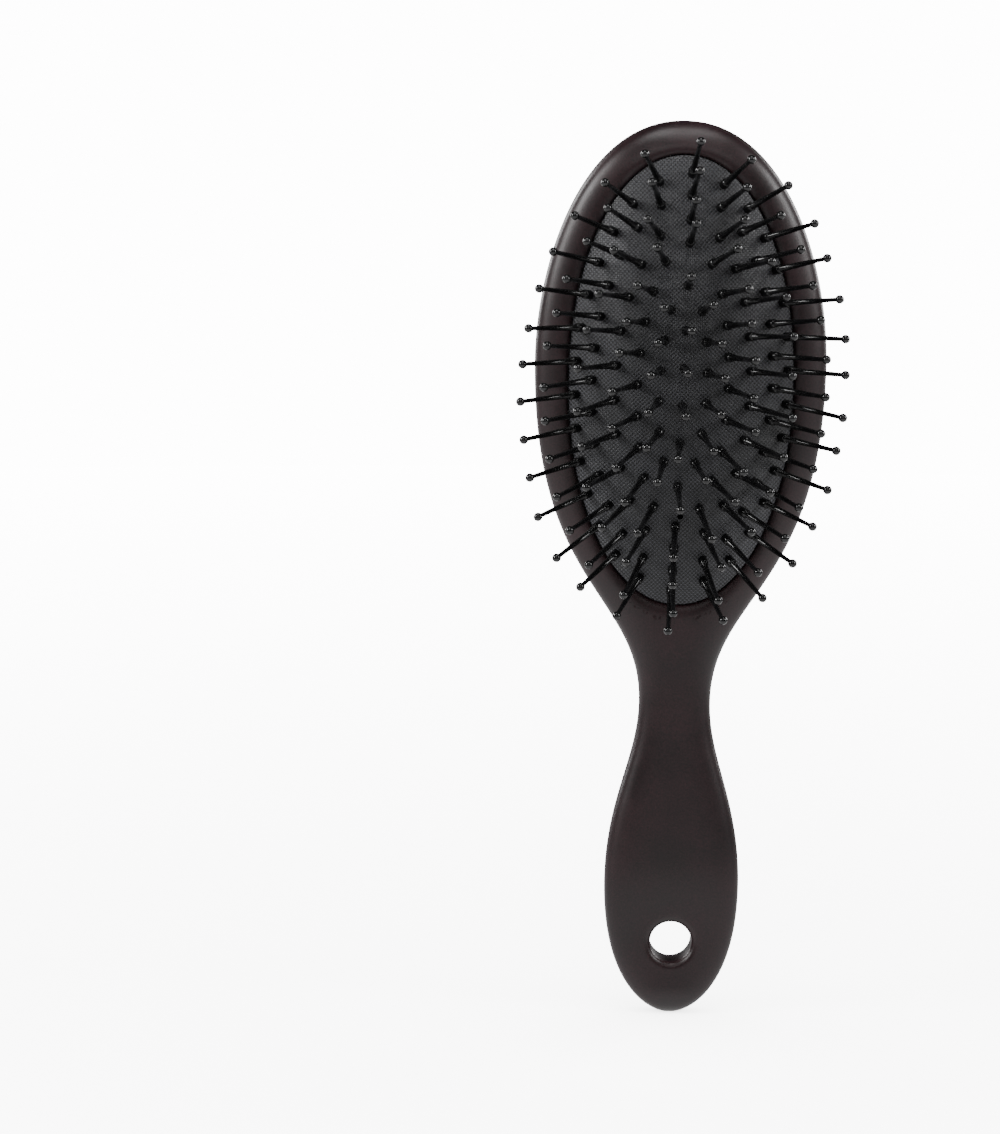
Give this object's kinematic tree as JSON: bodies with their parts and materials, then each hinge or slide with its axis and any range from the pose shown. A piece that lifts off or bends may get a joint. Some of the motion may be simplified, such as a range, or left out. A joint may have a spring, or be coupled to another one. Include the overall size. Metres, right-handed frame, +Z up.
{
  "type": "cushion hair brush",
  "caption": "Oval air-cushion hair brush: one-piece moulded handle with a hanging hole, domed rubber pad and fanned ball-tipped plastic pins.",
  "frame": {"origin": "centre of the hanging hole, midway through the handle", "axes": "+Z up the handle to the top of the head, -Y the way the pins point, X across the brush"},
  "size_m": [0.0806, 0.0491, 0.2242],
  "materials": {
    "soft_touch_plastic": "satin soft-touch coat, very dark brown-plum",
    "cushion_rubber": "matt black, finely embossed",
    "pin_nylon": "gloss black nylon"
  },
  "bodies": {
    "handle": {"handle_body": "soft_touch_plastic"},
    "cushion": {"cushion_pad": "cushion_rubber"},
    "pin_ring1_01": {"pin_ring1_01": "pin_nylon"},
    "pin_ring1_02": {"pin_ring1_02": "pin_nylon"},
    "pin_ring1_03": {"pin_ring1_03": "pin_nylon"},
    "pin_ring1_04": {"pin_ring1_04": "pin_nylon"},
    "pin_ring1_05": {"pin_ring1_05": "pin_nylon"},
    "pin_ring1_06": {"pin_ring1_06": "pin_nylon"},
    "pin_ring1_07": {"pin_ring1_07": "pin_nylon"},
    "pin_ring1_08": {"pin_ring1_08": "pin_nylon"},
    "pin_ring1_09": {"pin_ring1_09": "pin_nylon"},
    "pin_ring1_10": {"pin_ring1_10": "pin_nylon"},
    "pin_ring1_11": {"pin_ring1_11": "pin_nylon"},
    "pin_ring1_12": {"pin_ring1_12": "pin_nylon"},
    "pin_ring1_13": {"pin_ring1_13": "pin_nylon"},
    "pin_ring1_14": {"pin_ring1_14": "pin_nylon"},
    "pin_ring1_15": {"pin_ring1_15": "pin_nylon"},
    "pin_ring1_16": {"pin_ring1_16": "pin_nylon"},
    "pin_ring1_17": {"pin_ring1_17": "pin_nylon"},
    "pin_ring1_18": {"pin_ring1_18": "pin_nylon"},
    "pin_ring1_19": {"pin_ring1_19": "pin_nylon"},
    "pin_ring1_20": {"pin_ring1_20": "pin_nylon"},
    "pin_ring1_21": {"pin_ring1_21": "pin_nylon"},
    "pin_ring1_22": {"pin_ring1_22": "pin_nylon"},
    "pin_ring1_23": {"pin_ring1_23": "pin_nylon"},
    "pin_ring1_24": {"pin_ring1_24": "pin_nylon"},
    "pin_ring1_25": {"pin_ring1_25": "pin_nylon"},
    "pin_ring1_26": {"pin_ring1_26": "pin_nylon"},
    "pin_ring1_27": {"pin_ring1_27": "pin_nylon"},
    "pin_ring1_28": {"pin_ring1_28": "pin_nylon"},
    "pin_ring1_29": {"pin_ring1_29": "pin_nylon"},
    "pin_ring1_30": {"pin_ring1_30": "pin_nylon"},
    "pin_ring2_01": {"pin_ring2_01": "pin_nylon"},
    "pin_ring2_02": {"pin_ring2_02": "pin_nylon"},
    "pin_ring2_03": {"pin_ring2_03": "pin_nylon"},
    "pin_ring2_04": {"pin_ring2_04": "pin_nylon"},
    "pin_ring2_05": {"pin_ring2_05": "pin_nylon"},
    "pin_ring2_06": {"pin_ring2_06": "pin_nylon"},
    "pin_ring2_07": {"pin_ring2_07": "pin_nylon"},
    "pin_ring2_08": {"pin_ring2_08": "pin_nylon"},
    "pin_ring2_09": {"pin_ring2_09": "pin_nylon"},
    "pin_ring2_10": {"pin_ring2_10": "pin_nylon"},
    "pin_ring2_11": {"pin_ring2_11": "pin_nylon"},
    "pin_ring2_12": {"pin_ring2_12": "pin_nylon"},
    "pin_ring2_13": {"pin_ring2_13": "pin_nylon"},
    "pin_ring2_14": {"pin_ring2_14": "pin_nylon"},
    "pin_ring2_15": {"pin_ring2_15": "pin_nylon"},
    "pin_ring2_16": {"pin_ring2_16": "pin_nylon"},
    "pin_ring2_17": {"pin_ring2_17": "pin_nylon"},
    "pin_ring2_18": {"pin_ring2_18": "pin_nylon"},
    "pin_ring2_19": {"pin_ring2_19": "pin_nylon"},
    "pin_ring2_20": {"pin_ring2_20": "pin_nylon"},
    "pin_ring2_21": {"pin_ring2_21": "pin_nylon"},
    "pin_ring2_22": {"pin_ring2_22": "pin_nylon"},
    "pin_ring2_23": {"pin_ring2_23": "pin_nylon"},
    "pin_ring2_24": {"pin_ring2_24": "pin_nylon"},
    "pin_ring2_25": {"pin_ring2_25": "pin_nylon"},
    "pin_ring2_26": {"pin_ring2_26": "pin_nylon"},
    "pin_ring2_27": {"pin_ring2_27": "pin_nylon"},
    "pin_ring2_28": {"pin_ring2_28": "pin_nylon"}
  },
  "joints": [
    {"name": "cushion_press", "type": "slide", "parent": "handle", "child": "cushion", "axis": [0, 1, 0], "range_m": [0, 0.0035], "stiffness_N_per_m": 2000, "deforming": ["cushion_pad"]},
    {"name": "pin_ring1_01_lean", "type": "hinge", "parent": "handle", "child": "pin_ring1_01", "pos_m": [0.00236, -0.0066, 0.19743], "axis": [0.9913, 0, -0.1315], "range_deg": [0, 6.28]},
    {"name": "pin_ring1_02_lean", "type": "hinge", "parent": "handle", "child": "pin_ring1_02", "pos_m": [0.01166, -0.0066, 0.1929], "axis": [0.7896, 0, -0.6137], "range_deg": [0, 7.05]},
    {"name": "pin_ring1_03_lean", "type": "hinge", "parent": "handle", "child": "pin_ring1_03", "pos_m": [0.01752, -0.0066, 0.18593], "axis": [0.5727, 0, -0.8197], "range_deg": [0, 7.82]},
    {"name": "pin_ring1_04_lean", "type": "hinge", "parent": "handle", "child": "pin_ring1_04", "pos_m": [0.0215, -0.0066, 0.17824], "axis": [0.4158, 0, -0.9094], "range_deg": [0, 8.27]},
    {"name": "pin_ring1_05_lean", "type": "hinge", "parent": "handle", "child": "pin_ring1_05", "pos_m": [0.02429, -0.0066, 0.17017], "axis": [0.297, 0, -0.9549], "range_deg": [0, 8.51]},
    {"name": "pin_ring1_06_lean", "type": "hinge", "parent": "handle", "child": "pin_ring1_06", "pos_m": [0.02619, -0.0066, 0.16188], "axis": [0.1992, 0, -0.9799], "range_deg": [0, 8.63]},
    {"name": "pin_ring1_07_lean", "type": "hinge", "parent": "handle", "child": "pin_ring1_07", "pos_m": [0.02735, -0.0066, 0.15357], "axis": [0.1129, 0, -0.9936], "range_deg": [0, 8.68]},
    {"name": "pin_ring1_08_lean", "type": "hinge", "parent": "handle", "child": "pin_ring1_08", "pos_m": [0.02786, -0.0066, 0.14514], "axis": [0.0318, 0, -0.9995], "range_deg": [0, 8.69]},
    {"name": "pin_ring1_09_lean", "type": "hinge", "parent": "handle", "child": "pin_ring1_09", "pos_m": [0.0278, -0.0066, 0.13672], "axis": [-0.0488, 0, -0.9988], "range_deg": [0, 8.67]},
    {"name": "pin_ring1_10_lean", "type": "hinge", "parent": "handle", "child": "pin_ring1_10", "pos_m": [0.02716, -0.0066, 0.1283], "axis": [-0.1331, 0, -0.9911], "range_deg": [0, 8.62]},
    {"name": "pin_ring1_11_lean", "type": "hinge", "parent": "handle", "child": "pin_ring1_11", "pos_m": [0.02585, -0.0066, 0.11992], "axis": [-0.2265, 0, -0.974], "range_deg": [0, 8.5]},
    {"name": "pin_ring1_12_lean", "type": "hinge", "parent": "handle", "child": "pin_ring1_12", "pos_m": [0.02374, -0.0066, 0.11157], "axis": [-0.3363, 0, -0.9417], "range_deg": [0, 8.29]},
    {"name": "pin_ring1_13_lean", "type": "hinge", "parent": "handle", "child": "pin_ring1_13", "pos_m": [0.02061, -0.0066, 0.10337], "axis": [-0.4747, 0, -0.8801], "range_deg": [0, 7.92]},
    {"name": "pin_ring1_14_lean", "type": "hinge", "parent": "handle", "child": "pin_ring1_14", "pos_m": [0.01602, -0.0066, 0.09549], "axis": [-0.6599, 0, -0.7513], "range_deg": [0, 7.32]},
    {"name": "pin_ring1_15_lean", "type": "hinge", "parent": "handle", "child": "pin_ring1_15", "pos_m": [0.0088, -0.0066, 0.08858], "axis": [-0.8926, 0, -0.4508], "range_deg": [0, 6.54]},
    {"name": "pin_ring1_16_lean", "type": "hinge", "parent": "handle", "child": "pin_ring1_16", "pos_m": [-0.00236, -0.0066, 0.08617], "axis": [-0.9913, 0, 0.1315], "range_deg": [0, 6.28]},
    {"name": "pin_ring1_17_lean", "type": "hinge", "parent": "handle", "child": "pin_ring1_17", "pos_m": [-0.01166, -0.0066, 0.0907], "axis": [-0.7896, 0, 0.6137], "range_deg": [0, 7.05]},
    {"name": "pin_ring1_18_lean", "type": "hinge", "parent": "handle", "child": "pin_ring1_18", "pos_m": [-0.01752, -0.0066, 0.09767], "axis": [-0.5727, 0, 0.8197], "range_deg": [0, 7.82]},
    {"name": "pin_ring1_19_lean", "type": "hinge", "parent": "handle", "child": "pin_ring1_19", "pos_m": [-0.0215, -0.0066, 0.10537], "axis": [-0.4158, 0, 0.9094], "range_deg": [0, 8.27]},
    {"name": "pin_ring1_20_lean", "type": "hinge", "parent": "handle", "child": "pin_ring1_20", "pos_m": [-0.02429, -0.0066, 0.11343], "axis": [-0.297, 0, 0.9549], "range_deg": [0, 8.51]},
    {"name": "pin_ring1_21_lean", "type": "hinge", "parent": "handle", "child": "pin_ring1_21", "pos_m": [-0.02619, -0.0066, 0.12172], "axis": [-0.1992, 0, 0.9799], "range_deg": [0, 8.63]},
    {"name": "pin_ring1_22_lean", "type": "hinge", "parent": "handle", "child": "pin_ring1_22", "pos_m": [-0.02735, -0.0066, 0.13003], "axis": [-0.1129, 0, 0.9936], "range_deg": [0, 8.68]},
    {"name": "pin_ring1_23_lean", "type": "hinge", "parent": "handle", "child": "pin_ring1_23", "pos_m": [-0.02786, -0.0066, 0.13846], "axis": [-0.0318, 0, 0.9995], "range_deg": [0, 8.69]},
    {"name": "pin_ring1_24_lean", "type": "hinge", "parent": "handle", "child": "pin_ring1_24", "pos_m": [-0.0278, -0.0066, 0.14688], "axis": [0.0488, 0, 0.9988], "range_deg": [0, 8.67]},
    {"name": "pin_ring1_25_lean", "type": "hinge", "parent": "handle", "child": "pin_ring1_25", "pos_m": [-0.02716, -0.0066, 0.1553], "axis": [0.1331, 0, 0.9911], "range_deg": [0, 8.62]},
    {"name": "pin_ring1_26_lean", "type": "hinge", "parent": "handle", "child": "pin_ring1_26", "pos_m": [-0.02585, -0.0066, 0.16368], "axis": [0.2265, 0, 0.974], "range_deg": [0, 8.5]},
    {"name": "pin_ring1_27_lean", "type": "hinge", "parent": "handle", "child": "pin_ring1_27", "pos_m": [-0.02374, -0.0066, 0.17203], "axis": [0.3363, 0, 0.9417], "range_deg": [0, 8.29]},
    {"name": "pin_ring1_28_lean", "type": "hinge", "parent": "handle", "child": "pin_ring1_28", "pos_m": [-0.02061, -0.0066, 0.18023], "axis": [0.4747, 0, 0.8801], "range_deg": [0, 7.92]},
    {"name": "pin_ring1_29_lean", "type": "hinge", "parent": "handle", "child": "pin_ring1_29", "pos_m": [-0.01602, -0.0066, 0.18811], "axis": [0.6599, 0, 0.7513], "range_deg": [0, 7.32]},
    {"name": "pin_ring1_30_lean", "type": "hinge", "parent": "handle", "child": "pin_ring1_30", "pos_m": [-0.0088, -0.0066, 0.19503], "axis": [0.8926, 0, 0.4508], "range_deg": [0, 6.54]},
    {"name": "pin_ring2_01_lean", "type": "hinge", "parent": "handle", "child": "pin_ring2_01", "pos_m": [0.00385, -0.0066, 0.19714], "axis": [0.9913, 0, -0.1315], "range_deg": [0, 5.7]},
    {"name": "pin_ring2_02_lean", "type": "hinge", "parent": "handle", "child": "pin_ring2_02", "pos_m": [0.0146, -0.0066, 0.18991], "axis": [0.7779, 0, -0.6283], "range_deg": [0, 6.48]},
    {"name": "pin_ring2_03_lean", "type": "hinge", "parent": "handle", "child": "pin_ring2_03", "pos_m": [0.01974, -0.0066, 0.18202], "axis": [0.5581, 0, -0.8298], "range_deg": [0, 7.27]},
    {"name": "pin_ring2_04_lean", "type": "hinge", "parent": "handle", "child": "pin_ring2_04", "pos_m": [0.02313, -0.0066, 0.17391], "axis": [0.3995, 0, -0.9168], "range_deg": [0, 7.75]},
    {"name": "pin_ring2_05_lean", "type": "hinge", "parent": "handle", "child": "pin_ring2_05", "pos_m": [0.02541, -0.0066, 0.16576], "axis": [0.2772, 0, -0.9608], "range_deg": [0, 8.02]},
    {"name": "pin_ring2_06_lean", "type": "hinge", "parent": "handle", "child": "pin_ring2_06", "pos_m": [0.02688, -0.0066, 0.15753], "axis": [0.1744, 0, -0.9847], "range_deg": [0, 8.16]},
    {"name": "pin_ring2_07_lean", "type": "hinge", "parent": "handle", "child": "pin_ring2_07", "pos_m": [0.02768, -0.0066, 0.14932], "axis": [0.0814, 0, -0.9967], "range_deg": [0, 8.22]},
    {"name": "pin_ring2_08_lean", "type": "hinge", "parent": "handle", "child": "pin_ring2_08", "pos_m": [0.0279, -0.0066, 0.141], "axis": [-0.0083, 0, -1], "range_deg": [0, 8.21]},
    {"name": "pin_ring2_09_lean", "type": "hinge", "parent": "handle", "child": "pin_ring2_09", "pos_m": [0.02758, -0.0066, 0.13276], "axis": [-0.0999, 0, -0.995], "range_deg": [0, 8.13]},
    {"name": "pin_ring2_10_lean", "type": "hinge", "parent": "handle", "child": "pin_ring2_10", "pos_m": [0.02665, -0.0066, 0.12446], "axis": [-0.1992, 0, -0.98], "range_deg": [0, 7.98]},
    {"name": "pin_ring2_11_lean", "type": "hinge", "parent": "handle", "child": "pin_ring2_11", "pos_m": [0.02502, -0.0066, 0.11619], "axis": [-0.3137, 0, -0.9495], "range_deg": [0, 7.73]},
    {"name": "pin_ring2_12_lean", "type": "hinge", "parent": "handle", "child": "pin_ring2_12", "pos_m": [0.02248, -0.0066, 0.10786], "axis": [-0.4554, 0, -0.8903], "range_deg": [0, 7.33]},
    {"name": "pin_ring2_13_lean", "type": "hinge", "parent": "handle", "child": "pin_ring2_13", "pos_m": [0.01867, -0.0066, 0.09959], "axis": [-0.6428, 0, -0.766], "range_deg": [0, 6.72]},
    {"name": "pin_ring2_14_lean", "type": "hinge", "parent": "handle", "child": "pin_ring2_14", "pos_m": [0.0123, -0.0066, 0.09127], "axis": [-0.8818, 0, -0.4716], "range_deg": [0, 5.95]},
    {"name": "pin_ring2_15_lean", "type": "hinge", "parent": "handle", "child": "pin_ring2_15", "pos_m": [-0.00385, -0.0066, 0.08646], "axis": [-0.9913, 0, 0.1315], "range_deg": [0, 5.7]},
    {"name": "pin_ring2_16_lean", "type": "hinge", "parent": "handle", "child": "pin_ring2_16", "pos_m": [-0.0146, -0.0066, 0.09369], "axis": [-0.7779, 0, 0.6283], "range_deg": [0, 6.48]},
    {"name": "pin_ring2_17_lean", "type": "hinge", "parent": "handle", "child": "pin_ring2_17", "pos_m": [-0.01974, -0.0066, 0.10158], "axis": [-0.5581, 0, 0.8298], "range_deg": [0, 7.27]},
    {"name": "pin_ring2_18_lean", "type": "hinge", "parent": "handle", "child": "pin_ring2_18", "pos_m": [-0.02313, -0.0066, 0.10969], "axis": [-0.3995, 0, 0.9168], "range_deg": [0, 7.75]},
    {"name": "pin_ring2_19_lean", "type": "hinge", "parent": "handle", "child": "pin_ring2_19", "pos_m": [-0.02541, -0.0066, 0.11784], "axis": [-0.2772, 0, 0.9608], "range_deg": [0, 8.02]},
    {"name": "pin_ring2_20_lean", "type": "hinge", "parent": "handle", "child": "pin_ring2_20", "pos_m": [-0.02688, -0.0066, 0.12607], "axis": [-0.1744, 0, 0.9847], "range_deg": [0, 8.16]},
    {"name": "pin_ring2_21_lean", "type": "hinge", "parent": "handle", "child": "pin_ring2_21", "pos_m": [-0.02768, -0.0066, 0.13428], "axis": [-0.0814, 0, 0.9967], "range_deg": [0, 8.22]},
    {"name": "pin_ring2_22_lean", "type": "hinge", "parent": "handle", "child": "pin_ring2_22", "pos_m": [-0.0279, -0.0066, 0.1426], "axis": [0.0083, 0, 1], "range_deg": [0, 8.21]},
    {"name": "pin_ring2_23_lean", "type": "hinge", "parent": "handle", "child": "pin_ring2_23", "pos_m": [-0.02758, -0.0066, 0.15084], "axis": [0.0999, 0, 0.995], "range_deg": [0, 8.13]},
    {"name": "pin_ring2_24_lean", "type": "hinge", "parent": "handle", "child": "pin_ring2_24", "pos_m": [-0.02665, -0.0066, 0.15914], "axis": [0.1992, 0, 0.98], "range_deg": [0, 7.98]},
    {"name": "pin_ring2_25_lean", "type": "hinge", "parent": "handle", "child": "pin_ring2_25", "pos_m": [-0.02502, -0.0066, 0.16741], "axis": [0.3137, 0, 0.9495], "range_deg": [0, 7.73]},
    {"name": "pin_ring2_26_lean", "type": "hinge", "parent": "handle", "child": "pin_ring2_26", "pos_m": [-0.02248, -0.0066, 0.17574], "axis": [0.4554, 0, 0.8903], "range_deg": [0, 7.33]},
    {"name": "pin_ring2_27_lean", "type": "hinge", "parent": "handle", "child": "pin_ring2_27", "pos_m": [-0.01867, -0.0066, 0.18401], "axis": [0.6428, 0, 0.766], "range_deg": [0, 6.72]},
    {"name": "pin_ring2_28_lean", "type": "hinge", "parent": "handle", "child": "pin_ring2_28", "pos_m": [-0.0123, -0.0066, 0.19233], "axis": [0.8818, 0, 0.4716], "range_deg": [0, 5.95]}
  ],
  "couplings": [
    {"joint": "pin_ring1_01_lean", "follows": "cushion_press", "rad_per_m": 31.072},
    {"joint": "pin_ring1_02_lean", "follows": "cushion_press", "rad_per_m": 34.906},
    {"joint": "pin_ring1_03_lean", "follows": "cushion_press", "rad_per_m": 38.765},
    {"joint": "pin_ring1_04_lean", "follows": "cushion_press", "rad_per_m": 41.012},
    {"joint": "pin_ring1_05_lean", "follows": "cushion_press", "rad_per_m": 42.184},
    {"joint": "pin_ring1_06_lean", "follows": "cushion_press", "rad_per_m": 42.77},
    {"joint": "pin_ring1_07_lean", "follows": "cushion_press", "rad_per_m": 43.034},
    {"joint": "pin_ring1_08_lean", "follows": "cushion_press", "rad_per_m": 43.1},
    {"joint": "pin_ring1_09_lean", "follows": "cushion_press", "rad_per_m": 43.004},
    {"joint": "pin_ring1_10_lean", "follows": "cushion_press", "rad_per_m": 42.715},
    {"joint": "pin_ring1_11_lean", "follows": "cushion_press", "rad_per_m": 42.135},
    {"joint": "pin_ring1_12_lean", "follows": "cushion_press", "rad_per_m": 41.077},
    {"joint": "pin_ring1_13_lean", "follows": "cushion_press", "rad_per_m": 39.234},
    {"joint": "pin_ring1_14_lean", "follows": "cushion_press", "rad_per_m": 36.232},
    {"joint": "pin_ring1_15_lean", "follows": "cushion_press", "rad_per_m": 32.349},
    {"joint": "pin_ring1_16_lean", "follows": "cushion_press", "rad_per_m": 31.072},
    {"joint": "pin_ring1_17_lean", "follows": "cushion_press", "rad_per_m": 34.906},
    {"joint": "pin_ring1_18_lean", "follows": "cushion_press", "rad_per_m": 38.765},
    {"joint": "pin_ring1_19_lean", "follows": "cushion_press", "rad_per_m": 41.012},
    {"joint": "pin_ring1_20_lean", "follows": "cushion_press", "rad_per_m": 42.184},
    {"joint": "pin_ring1_21_lean", "follows": "cushion_press", "rad_per_m": 42.77},
    {"joint": "pin_ring1_22_lean", "follows": "cushion_press", "rad_per_m": 43.034},
    {"joint": "pin_ring1_23_lean", "follows": "cushion_press", "rad_per_m": 43.1},
    {"joint": "pin_ring1_24_lean", "follows": "cushion_press", "rad_per_m": 43.004},
    {"joint": "pin_ring1_25_lean", "follows": "cushion_press", "rad_per_m": 42.715},
    {"joint": "pin_ring1_26_lean", "follows": "cushion_press", "rad_per_m": 42.135},
    {"joint": "pin_ring1_27_lean", "follows": "cushion_press", "rad_per_m": 41.077},
    {"joint": "pin_ring1_28_lean", "follows": "cushion_press", "rad_per_m": 39.234},
    {"joint": "pin_ring1_29_lean", "follows": "cushion_press", "rad_per_m": 36.232},
    {"joint": "pin_ring1_30_lean", "follows": "cushion_press", "rad_per_m": 32.349},
    {"joint": "pin_ring2_01_lean", "follows": "cushion_press", "rad_per_m": 28.15},
    {"joint": "pin_ring2_02_lean", "follows": "cushion_press", "rad_per_m": 32.082},
    {"joint": "pin_ring2_03_lean", "follows": "cushion_press", "rad_per_m": 35.991},
    {"joint": "pin_ring2_04_lean", "follows": "cushion_press", "rad_per_m": 38.383},
    {"joint": "pin_ring2_05_lean", "follows": "cushion_press", "rad_per_m": 39.732},
    {"joint": "pin_ring2_06_lean", "follows": "cushion_press", "rad_per_m": 40.441},
    {"joint": "pin_ring2_07_lean", "follows": "cushion_press", "rad_per_m": 40.726},
    {"joint": "pin_ring2_08_lean", "follows": "cushion_press", "rad_per_m": 40.68},
    {"joint": "pin_ring2_09_lean", "follows": "cushion_press", "rad_per_m": 40.314},
    {"joint": "pin_ring2_10_lean", "follows": "cushion_press", "rad_per_m": 39.567},
    {"joint": "pin_ring2_11_lean", "follows": "cushion_press", "rad_per_m": 38.3},
    {"joint": "pin_ring2_12_lean", "follows": "cushion_press", "rad_per_m": 36.281},
    {"joint": "pin_ring2_13_lean", "follows": "cushion_press", "rad_per_m": 33.237},
    {"joint": "pin_ring2_14_lean", "follows": "cushion_press", "rad_per_m": 29.429},
    {"joint": "pin_ring2_15_lean", "follows": "cushion_press", "rad_per_m": 28.15},
    {"joint": "pin_ring2_16_lean", "follows": "cushion_press", "rad_per_m": 32.082},
    {"joint": "pin_ring2_17_lean", "follows": "cushion_press", "rad_per_m": 35.991},
    {"joint": "pin_ring2_18_lean", "follows": "cushion_press", "rad_per_m": 38.383},
    {"joint": "pin_ring2_19_lean", "follows": "cushion_press", "rad_per_m": 39.732},
    {"joint": "pin_ring2_20_lean", "follows": "cushion_press", "rad_per_m": 40.441},
    {"joint": "pin_ring2_21_lean", "follows": "cushion_press", "rad_per_m": 40.726},
    {"joint": "pin_ring2_22_lean", "follows": "cushion_press", "rad_per_m": 40.68},
    {"joint": "pin_ring2_23_lean", "follows": "cushion_press", "rad_per_m": 40.314},
    {"joint": "pin_ring2_24_lean", "follows": "cushion_press", "rad_per_m": 39.567},
    {"joint": "pin_ring2_25_lean", "follows": "cushion_press", "rad_per_m": 38.3},
    {"joint": "pin_ring2_26_lean", "follows": "cushion_press", "rad_per_m": 36.281},
    {"joint": "pin_ring2_27_lean", "follows": "cushion_press", "rad_per_m": 33.237},
    {"joint": "pin_ring2_28_lean", "follows": "cushion_press", "rad_per_m": 29.429}
  ]
}
